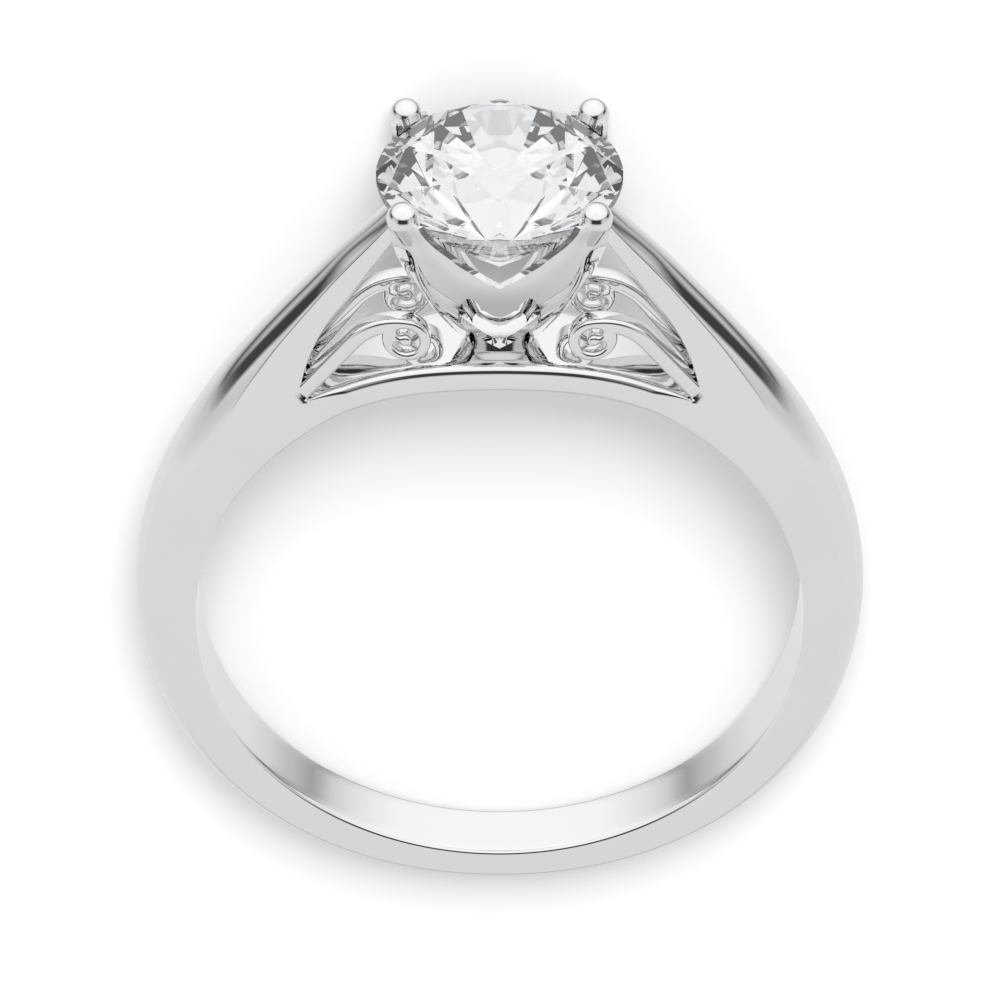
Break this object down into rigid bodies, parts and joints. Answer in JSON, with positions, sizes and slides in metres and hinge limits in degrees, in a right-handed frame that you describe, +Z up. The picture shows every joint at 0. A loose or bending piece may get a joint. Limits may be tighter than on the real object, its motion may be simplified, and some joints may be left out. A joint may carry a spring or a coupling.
{
  "type": "solitaire ring",
  "caption": "Polished white metal cathedral solitaire ring with a domed band, open scrolled shoulders and a round brilliant stone held in a prong head.",
  "frame": {"origin": "bottom centre of the box, on the table the ring lies on", "axes": "+Z up from the table, +Y from the bottom of the shank to the stone, X across the finger hole; the hole's axis leans 5.6 degrees from +Z"},
  "size_m": [0.0198, 0.0246, 0.0063],
  "materials": {
    "white_gold": "mirror polished white gold",
    "diamond": "clear, polished facets"
  },
  "bodies": {
    "root": {"ring_mounting": "white_gold", "diamond": "diamond"}
  },
  "joints": []
}
